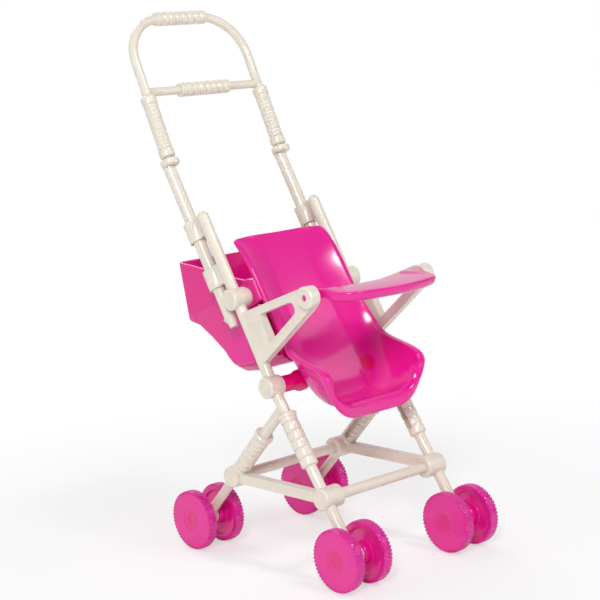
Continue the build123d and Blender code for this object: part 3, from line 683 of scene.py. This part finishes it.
basketValues = {
    # from the rear to the front: (half-widths at the foot and above the crease), then the (back, up)
    # of the foot, of the crease and of the top
    "stations": [
        ((17.8, 18.7), (91.2, 84.9), (90.9, 87.4), (94.8, 106.4)),
        ((18.3, 19.9), (90.6, 83.5), (90.0, 87.2), (93.4, 106.3)),
        ((18.1, 20.0), (87.9, 83.1), (87.6, 86.6), (89.0, 105.9)),
        ((17.4, 20.0), (86.6, 82.4), (85.4, 87.7), (85.5, 105.6)),
        ((17.1, 20.0), (79.6, 77.9), (79.7, 89.9), (80.0, 104.9)),
        ((17.1, 20.0), (72.3, 72.9), (72.5, 93.4), (74.0, 104.2)),
        ((17.1, 20.0), (70.5, 70.7), (69.0, 94.4), (70.0, 103.7)),
        ((17.1, 20.0), (68.0, 68.8), (66.0, 94.8), (67.0, 103.4)),
        ((17.1, 20.0), (64.1, 68.0), (64.0, 95.0), (63.5, 103.0)),
        ((17.1, 20.0), (57.5, 69.0), (60.0, 95.2), (60.0, 102.6)),
        ((17.6, 20.0), (39.5, 74.3), (51.0, 95.2), (54.8, 102.0)),
    ],
    "roll": 1.5, "rollOut": 0.3, "wall": 1.3, "edge": 0.6, "edgeAngle": 3,
    # raised plate, (back, up) round its outline
    "plate": [
        (40.2, 76.0), (52.3, 72.3), (57.6, 70.9), (61.0, 70.2), (64.0, 70.2), (66.6, 71.8),
        (68.0, 75.0), (67.9, 79.0), (66.2, 82.4), (63.8, 88.0), (61.6, 95.0), (59.0, 100.6),
        (54.4, 100.6),
    ],
    "plateInner": 17.0, "plateOuter": 21.1, "plateEdge": 0.6,
    # ear's (rise, gap) round its outline
    "ear": [(31.0, -3.8), (38.6, -3.4), (39.7, -0.3), (40.3, 3.4), (38.6, 6.8), (30.4, 6.6)],
    "earInner": 18.9, "earOuter": 22.8, "earEdge": 0.55,
    "pegRadius": 2.0, "pegRise": 35.0, "pegOuter": 26.5, "pegEdge": 0.4, "pegSegments": 40,
}


def makeBasketBin():
    values = basketValues
    vertices, faces = [], []
    for side in (1, -1):
        for (halfFoot, half), footPlace, creasePlace, topPlace in values["stations"]:
            foot = sidePoint(side * halfFoot, *footPlace)
            crease = sidePoint(side * half, *creasePlace)
            rise = (crease - foot).normalized() * values["roll"] * millimetre
            vertices.append(foot - Vector((side * values["roll"] * millimetre, 0, 0)))
            vertices.append(foot + rise + Vector((side * values["rollOut"] * millimetre, 0, 0)))
            vertices.append(crease)
            vertices.append(sidePoint(side * half, *topPlace))
    # a station has four points on each side: under the foot, beside it, on the crease and at the top
    count, points = len(values["stations"]), 4
    for station in range(count - 1):
        left, right = station * points, (count + station) * points
        for row in range(points - 1):
            first = left + row
            faces.append((first, first + points, first + points + 1, first + 1))
            first = right + row
            faces.append((first + 1, first + points + 1, first + points, first))
        faces.append((left, right, right + points, left + points))
    for station in (0, count - 1):
        for row in range(points - 1):
            first = station * points + row
            other = first + count * points
            corners = (first, first + 1, other + 1, other)
            faces.append(corners if station == 0 else tuple(reversed(corners)))
    tub = newPiece("basketBin", vertices, faces, basketPlastic)
    addWall(tub, values["wall"])
    bakeModifiers(tub)
    addEdges(tub, values["edge"], values["edgeAngle"])
    bakeModifiers(tub)
    return tub


def makeBasket():
    values = basketValues
    pieces = [makeBasketBin()]
    plateOutline = [sidePoint(0, *place) for place in values["plate"]]
    earOutline = [barPoint(0, *place) for place in values["ear"]]
    reach = values["pegOuter"] - values["earInner"]
    radius, pegEdge = values["pegRadius"], values["pegEdge"]
    profile = [(0, radius), (reach - pegEdge, radius), (reach, radius - pegEdge)]
    for side, sideName in ((1, "left"), (-1, "right")):
        for partName, outline in (("plate", plateOutline), ("ear", earOutline)):
            inner, outer = side * values[f"{partName}Inner"], side * values[f"{partName}Outer"]
            vertices, faces = extrudeOutline(outline, inner, outer)
            part = newPiece(f"{sideName}Basket{partName.title()}", vertices, faces, pinkPlastic)
            addEdges(part, values[f"{partName}Edge"], values["edgeAngle"])
            bakeModifiers(part)
            pieces.append(part)
        start = barPoint(side * values["earInner"], values["pegRise"], 0)
        vertices, faces = lathe(start, (side, 0, 0), profile, values["pegSegments"])
        pieces.append(newPiece(f"{sideName}BasketPeg", vertices, faces, pinkPlastic))
    for piece in pieces:
        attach(piece, "frame")
        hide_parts("basket")


makeBasket()
print("basket made")

wheelValues = {
    "innerFace": 4.6, "segments": 112,
    # wheel's section from the bottom of its bore, out round the tread and in to the middle of its
    # outer face: (distance from the inner face, radius)
    "section": [
        (2.64, 0.02), (2.64, 1.22), (-1.8, 1.22), (-1.8, 3.45), (-1.7, 3.7), (-1.45, 3.8),
        (0.8, 3.95), (1.15, 4.1), (1.3, 4.4), (1.3, 7.9), (1.2, 8.3), (0.9, 8.55), (0.35, 8.7),
        (0.1, 8.85), (0, 9.15), (0, 9.8), (0.06, 10.3), (0.25, 10.7), (0.6, 10.95), (1.0, 11.02),
        (2.9, 11.02), (3.3, 10.93), (3.6, 10.66), (3.72, 10.3), (3.76, 9.9), (3.79, 9.3),
        (3.83, 8.4), (3.87, 7.2), (3.9, 5.9), (3.95, 4.9), (3.95, 4.3), (3.88, 4.05), (3.74, 3.85),
        (3.7, 3.7), (3.78, 3.5), (3.82, 3.0), (3.8, 2.2), (3.72, 1.4), (3.6, 0.7), (3.56, 0.02),
    ],
    "teeth": 50, "toothRing": 10.56,
    # rows of teeth across the tread:
    # (distance from the inner face, length, share of a tooth turned, radius change)
    "toothRows": [(0.78, 1.75, 0.0, 0.0), (2.0, 1.5, 0.5, 0.04), (3.14, 1.75, 0.0, 0.0)],
    "toothWidth": 1.4, "toothHeight": 1.3,
    # inside this radius the wheel is painted deeper, fading over this width: the thick plastic at the hub,
    # and painted shade between the paired wheels
    "hubThickAndShadeRadius": 4.6, "hubThickAndShadeFade": 2.6,
}


def makeTwinTree():
    # One wheel's body and rows of teeth, then the pair back to back
    tree, source, sink = newGroup(
        "twinWheels", "GeometryNodeTree",
        [("Geometry", "NodeSocketGeometry", None), ("Teeth", "NodeSocketInt", 50),
         ("Tooth Ring", "NodeSocketFloat", 0.0106), ("Tooth Width", "NodeSocketFloat", 0.001),
         ("Tooth Height", "NodeSocketFloat", 0.001), ("Inner Face", "NodeSocketFloat", 0.0046),
         ("Material", "NodeSocketMaterial", None)],
        [("Geometry", "NodeSocketGeometry")])
    link = tree.links.new
    wheel = addNode(tree, "GeometryNodeJoinGeometry")
    link(source.outputs["Geometry"], wheel.inputs[0])
    for distance, length, turned, grown in wheelValues["toothRows"]:
        ring = addNode(tree, "GeometryNodeMeshCircle")
        radius = addNode(tree, "ShaderNodeMath", operation="ADD")
        radius.inputs[1].default_value = grown * millimetre
        link(source.outputs["Tooth Ring"], radius.inputs[0])
        link(source.outputs["Teeth"], ring.inputs["Vertices"])
        link(radius.outputs[0], ring.inputs["Radius"])
        spin = addNode(tree, "GeometryNodeTransform")
        spin.inputs["Rotation"].default_value = (0, 0, 2 * pi * turned / wheelValues["teeth"])
        tip = addNode(tree, "GeometryNodeTransform")
        tip.inputs["Rotation"].default_value = (0, pi / 2, 0)
        tip.inputs["Translation"].default_value = (distance * millimetre, 0, 0)
        link(ring.outputs[0], spin.inputs[0])
        link(spin.outputs[0], tip.inputs[0])

        size = addNode(tree, "ShaderNodeCombineXYZ", {"X": length * millimetre})
        link(source.outputs["Tooth Width"], size.inputs["Y"])
        link(source.outputs["Tooth Height"], size.inputs["Z"])
        block = addNode(tree, "GeometryNodeMeshCube", {"Vertices X": 3})
        link(size.outputs[0], block.inputs["Size"])
        rounded = addNode(tree, "GeometryNodeSubdivisionSurface", {"Level": 1})
        link(block.outputs[0], rounded.inputs[0])

        place = addNode(tree, "GeometryNodeInputPosition")
        spoke = addNode(tree, "ShaderNodeVectorMath", operation="MULTIPLY")
        spoke.inputs[1].default_value = (0, 1, 1)
        align = addNode(tree, "FunctionNodeAlignRotationToVector", axis="Z", pivot_axis="X")
        link(place.outputs[0], spoke.inputs[0])
        link(spoke.outputs[0], align.inputs["Vector"])
        teeth = addNode(tree, "GeometryNodeInstanceOnPoints")
        link(tip.outputs[0], teeth.inputs["Points"])
        link(rounded.outputs[0], teeth.inputs["Instance"])
        link(align.outputs[0], teeth.inputs["Rotation"])
        link(teeth.outputs[0], wheel.inputs[0])
    pair = addNode(tree, "GeometryNodeJoinGeometry")
    for facing in (1, -1):
        offset = addNode(tree, "ShaderNodeMath", operation="MULTIPLY")
        offset.inputs[1].default_value = facing
        link(source.outputs["Inner Face"], offset.inputs[0])
        shift = addNode(tree, "ShaderNodeCombineXYZ")
        link(offset.outputs[0], shift.inputs["X"])
        half = addNode(tree, "GeometryNodeTransform")
        half.inputs["Rotation"].default_value = (0, 0, 0 if facing > 0 else pi)
        link(shift.outputs[0], half.inputs["Translation"])
        link(wheel.outputs[0], half.inputs[0])
        link(half.outputs[0], pair.inputs[0])
    realize = addNode(tree, "GeometryNodeRealizeInstances")
    smooth = addNode(tree, "GeometryNodeSetShadeSmooth")
    paint = addNode(tree, "GeometryNodeSetMaterial")
    link(pair.outputs[0], realize.inputs[0])
    link(realize.outputs[0], smooth.inputs[0])
    link(smooth.outputs[0], paint.inputs[0])
    link(source.outputs["Material"], paint.inputs["Material"])
    link(paint.outputs[0], sink.inputs[0])
    return tree


def makeWheels():
    values = wheelValues
    tree = makeTwinTree()
    sockets = {
        item.name: item.identifier for item in tree.interface.items_tree if item.in_out == "INPUT"}
    settings = {
        "Teeth": values["teeth"], "Tooth Ring": values["toothRing"] * millimetre,
        "Tooth Width": values["toothWidth"] * millimetre,
        "Tooth Height": values["toothHeight"] * millimetre,
        "Inner Face": values["innerFace"] * millimetre, "Material": wheelPlastic,
    }
    for sideName in ("left", "right"):
        for endName in ("front", "rear"):
            pairName = f"{sideName}_{endName}"
            vertices, faces = lathe((0, 0, 0), (1, 0, 0), values["section"], values["segments"])
            wheels = newPiece(f"{pairName}_wheelPair", vertices, faces, wheelPlastic)
            # how near each place is to the middle, where the wheel is painted deeper: the thick plastic at
            # the hub, and painted shade between the paired wheels
            layer = wheels.data.uv_layers.new(name="thickness")
            for loop in wheels.data.loops:
                place = wheels.data.vertices[loop.vertex_index].co / millimetre
                inset = values["hubThickAndShadeRadius"] - (place.y ** 2 + place.z ** 2) ** 0.5
                share = min(1, max(0, inset / values["hubThickAndShadeFade"]))
                layer.data[loop.index].uv = (0.5, share)
            twin = wheels.modifiers.new("twin", "NODES")
            twin.node_group = tree
            for name, value in settings.items():
                twin[sockets[name]] = value
            bakeModifiers(wheels)
            hub = Vector(joints[f"{pairName}_spin"]["pos_m"])
            wheels.data.transform(Matrix.Translation(hub))
            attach(wheels, f"{pairName}_wheels")
            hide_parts(f"{pairName}_outer_wheel", f"{pairName}_inner_wheel")


makeWheels()
print("wheels made")

studioValues = {
    "cameraPlace": (-0.4008, -0.4476, 0.1905), "azimuth": -41.8915, "elevation": 9.2958,
    "roll": -3.3066, "focalLength": 98.71, "sensorWidth": 36.0, "clipStart": 0.01,
    "floorHalf": 3.0, "floorColor": (0.93, 0.93, 0.93, 1), "floorRoughness": 0.9,
    "paleNear": 0.5, "paleStart": 0.09, "paleEnd": 0.26,
    "worldFront": 0.3, "worldBack": 0.74, "frontY": -0.2, "backY": 0.5,
    # where each lamp stands, how wide and high it is and its watts
    "lamps": {
        "keyLamp": ((-0.8, -0.7, 0.75), (0.25, 0.4), 7.6),
        "fillLamp": ((0.8, -0.8, 0.6), (0.62, 0.45), 0.95),
        "frontLamp": ((0.08, -0.56, 0.77), (0.15, 0.15), 1.6),
        "rimLamp": ((0.1, 0.9, 0.9), (0.32, 0.32), 2.0),
    },
    "lampAim": (0, 0, 0.09),
}


def makeCamera():
    turn, lift, roll = (radians(studioValues[name]) for name in ("azimuth", "elevation", "roll"))
    ahead = -Vector((sin(turn) * cos(lift), -cos(turn) * cos(lift), sin(lift)))
    right = ahead.cross(Vector((0, 0, 1))).normalized()
    above = right.cross(ahead)
    acrossAxis = cos(roll) * right + sin(roll) * above
    upAxis = -sin(roll) * right + cos(roll) * above
    cameraData = bpy.data.cameras.new("studioCamera")
    cameraData.lens = studioValues["focalLength"]
    cameraData.sensor_width = studioValues["sensorWidth"]
    cameraData.clip_start = studioValues["clipStart"]
    camera = bpy.data.objects.new("studioCamera", cameraData)
    turnMatrix = Matrix((acrossAxis, upAxis, -ahead)).transposed().to_4x4()
    camera.matrix_world = Matrix.Translation(studioValues["cameraPlace"]) @ turnMatrix
    bpy.context.scene.collection.objects.link(camera)
    bpy.context.scene.camera = camera


def makeLamp(name, place, size, power):
    lampData = bpy.data.lights.new(name, "AREA")
    lampData.shape = "ELLIPSE"
    lampData.size, lampData.size_y = size
    lampData.energy = power
    lamp = bpy.data.objects.new(name, lampData)
    lamp.location = place
    aim = Vector(studioValues["lampAim"]) - Vector(place)
    lamp.rotation_euler = aim.to_track_quat("-Z", "Y").to_euler()
    bpy.context.scene.collection.objects.link(lamp)


def makeFloor():
    half = studioValues["floorHalf"]
    floorMesh = bpy.data.meshes.new("floor")
    corners = [(-half, -half, 0), (half, -half, 0), (half, half, 0), (-half, half, 0)]
    floorMesh.from_pydata(corners, [], [(0, 1, 2, 3)])
    floor = bpy.data.objects.new("floor", floorMesh)
    bpy.context.scene.collection.objects.link(floor)
    material = bpy.data.materials.new("paleFloor")
    material.use_nodes = True
    tree = material.node_tree
    shader = tree.nodes["Principled BSDF"]
    shader.inputs["Base Color"].default_value = studioValues["floorColor"]
    shader.inputs["Roughness"].default_value = studioValues["floorRoughness"]
    # The camera sees the floor fade to plain white away from the object
    place = addNode(tree, "ShaderNodeTexCoord")
    away = addNode(tree, "ShaderNodeVectorMath", operation="LENGTH")
    fade = addNode(tree, "ShaderNodeMapRange", {
        "From Min": studioValues["paleStart"], "From Max": studioValues["paleEnd"],
        "To Min": studioValues["paleNear"], "To Max": 1.0}, interpolation_type="SMOOTHSTEP")
    path = addNode(tree, "ShaderNodeLightPath")
    seen = addNode(tree, "ShaderNodeMath", operation="MULTIPLY")
    white = addNode(tree, "ShaderNodeEmission", {"Color": (1, 1, 1, 1), "Strength": 1.0})
    mix = addNode(tree, "ShaderNodeMixShader")
    tree.links.new(place.outputs["Object"], away.inputs[0])
    tree.links.new(away.outputs["Value"], fade.inputs["Value"])
    tree.links.new(fade.outputs[0], seen.inputs[0])
    tree.links.new(path.outputs["Is Camera Ray"], seen.inputs[1])
    tree.links.new(seen.outputs[0], mix.inputs[0])
    tree.links.new(shader.outputs[0], mix.inputs[1])
    tree.links.new(white.outputs[0], mix.inputs[2])
    tree.links.new(mix.outputs[0], tree.nodes["Material Output"].inputs["Surface"])
    floorMesh.materials.append(material)


def makeWorld():
    # A white backdrop behind, dimmer towards the front; the camera sees plain white everywhere
    world = bpy.data.worlds.new("studio")
    world.use_nodes = True
    tree = world.node_tree
    background = tree.nodes["Background"]
    place = addNode(tree, "ShaderNodeTexCoord")
    split = addNode(tree, "ShaderNodeSeparateXYZ")
    around = addNode(tree, "ShaderNodeMapRange", {
        "From Min": studioValues["frontY"], "From Max": studioValues["backY"],
        "To Min": studioValues["worldFront"], "To Max": studioValues["worldBack"]},
        interpolation_type="SMOOTHSTEP")
    path = addNode(tree, "ShaderNodeLightPath")
    strength = addNode(tree, "ShaderNodeMath", operation="MAXIMUM")
    tree.links.new(place.outputs["Generated"], split.inputs[0])
    tree.links.new(split.outputs["Y"], around.inputs["Value"])
    tree.links.new(around.outputs[0], strength.inputs[0])
    tree.links.new(path.outputs["Is Camera Ray"], strength.inputs[1])
    tree.links.new(strength.outputs[0], background.inputs["Strength"])
    background.inputs["Color"].default_value = (1, 1, 1, 1)
    bpy.context.scene.world = world


makeCamera()
makeFloor()
makeWorld()
for lampName, lampValues in studioValues["lamps"].items():
    makeLamp(lampName, *lampValues)
bpy.context.scene.view_settings.view_transform = "Standard"
print("studio set")
